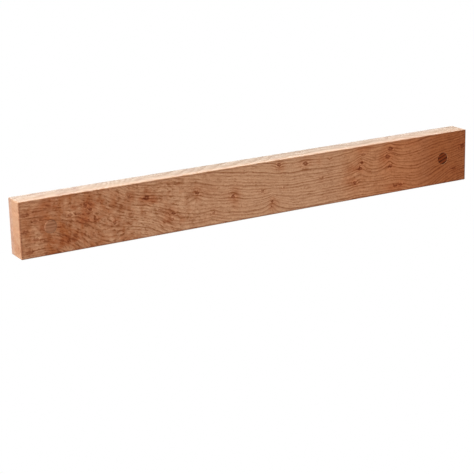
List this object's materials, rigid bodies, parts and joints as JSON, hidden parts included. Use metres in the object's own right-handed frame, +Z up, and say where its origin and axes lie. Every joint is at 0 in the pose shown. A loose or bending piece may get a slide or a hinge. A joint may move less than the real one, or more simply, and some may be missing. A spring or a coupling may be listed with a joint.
{
  "type": "magnetic knife rack",
  "caption": "Straight hardwood bar for a wall that holds knives flat on its face by hidden magnets, with plugged wall screws near its ends.",
  "frame": {"origin": "middle of the flat back face, which lies against the wall", "axes": "+X along the bar to the right of someone facing it, +Y into the wall, +Z up; the knives hang on the face toward -Y"},
  "size_m": [0.42, 0.0479, 0.045],
  "materials": {
    "bar_wood": "oiled satin",
    "backer_wood": "sanded",
    "left_plug_wood": "oiled satin",
    "right_plug_wood": "oiled satin",
    "magnet_nickel": "nickel plated",
    "keeper_steel": "mill",
    "screw_zinc": "zinc plated"
  },
  "bodies": {
    "rack": {"bar": "bar_wood", "magnet_01": "magnet_nickel", "magnet_02": "magnet_nickel", "magnet_03": "magnet_nickel", "magnet_04": "magnet_nickel", "magnet_05": "magnet_nickel", "magnet_06": "magnet_nickel", "magnet_07": "magnet_nickel", "magnet_08": "magnet_nickel", "magnet_09": "magnet_nickel", "magnet_10": "magnet_nickel", "magnet_11": "magnet_nickel", "magnet_12": "magnet_nickel", "magnet_13": "magnet_nickel", "keeper_strip": "keeper_steel", "backer_strip": "backer_wood", "left_wall_screw": "screw_zinc", "right_wall_screw": "screw_zinc"},
    "left_plug": {"left_plug": "left_plug_wood"},
    "right_plug": {"right_plug": "right_plug_wood"}
  },
  "joints": [
    {"name": "left_plug_pull", "type": "slide", "parent": "rack", "child": "left_plug", "axis": [0, -1, 0], "range_m": [0, 0.006]},
    {"name": "right_plug_pull", "type": "slide", "parent": "rack", "child": "right_plug", "axis": [0, -1, 0], "range_m": [0, 0.006]}
  ]
}
